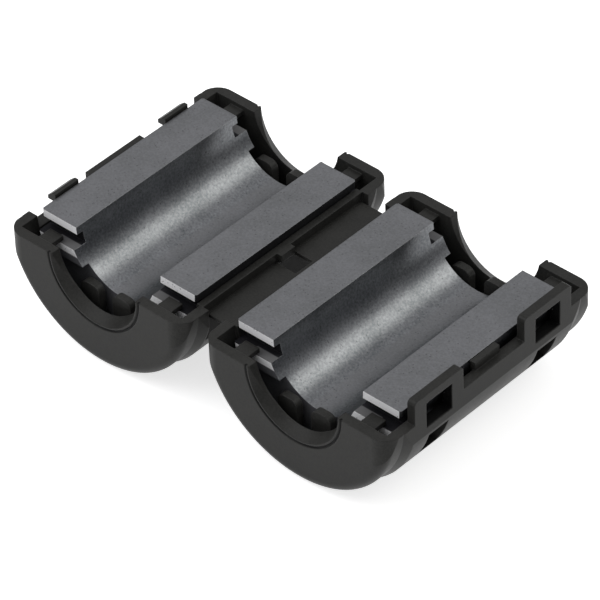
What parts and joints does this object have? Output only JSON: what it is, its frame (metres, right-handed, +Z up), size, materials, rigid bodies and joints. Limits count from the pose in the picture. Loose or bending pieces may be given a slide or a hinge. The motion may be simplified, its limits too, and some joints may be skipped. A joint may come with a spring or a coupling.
{
  "type": "clip on ferrite bead",
  "caption": "Snap-shut cylindrical ferrite bead, lying open: two black moulded half shells on a folding strap, each cradling half of a grey ferrite sleeve.",
  "frame": {"origin": "middle of the open bead's footprint, on the surface it stands on, midway between the two folds", "axes": "+X across the hinge towards the half with the windowed tabs, +Y along the cable bores, +Z up out of the open halves"},
  "size_m": [0.0572, 0.0346, 0.0158],
  "materials": {
    "case_plastic": "satin moulded nylon, near black",
    "ferrite": "ground and sintered ferrite, mid grey"
  },
  "bodies": {
    "half_b": {"case_half_b": "case_plastic", "ferrite_half_b": "ferrite"},
    "strap": {"hinge_strap": "case_plastic"},
    "half_a": {"case_half_a": "case_plastic", "ferrite_half_a": "ferrite"}
  },
  "joints": [
    {"name": "strap_fold", "type": "hinge", "parent": "half_b", "child": "strap", "pos_m": [0.00215, 0, 0.0116], "axis": [0, 1, 0], "range_deg": [0, 90]},
    {"name": "half_a_fold", "type": "hinge", "parent": "strap", "child": "half_a", "pos_m": [-0.00215, 0, 0.0116], "axis": [0, 1, 0], "range_deg": [0, 90]}
  ],
  "couplings": [
    {"joint": "strap_fold", "follows": "half_a_fold", "ratio": 1}
  ]
}
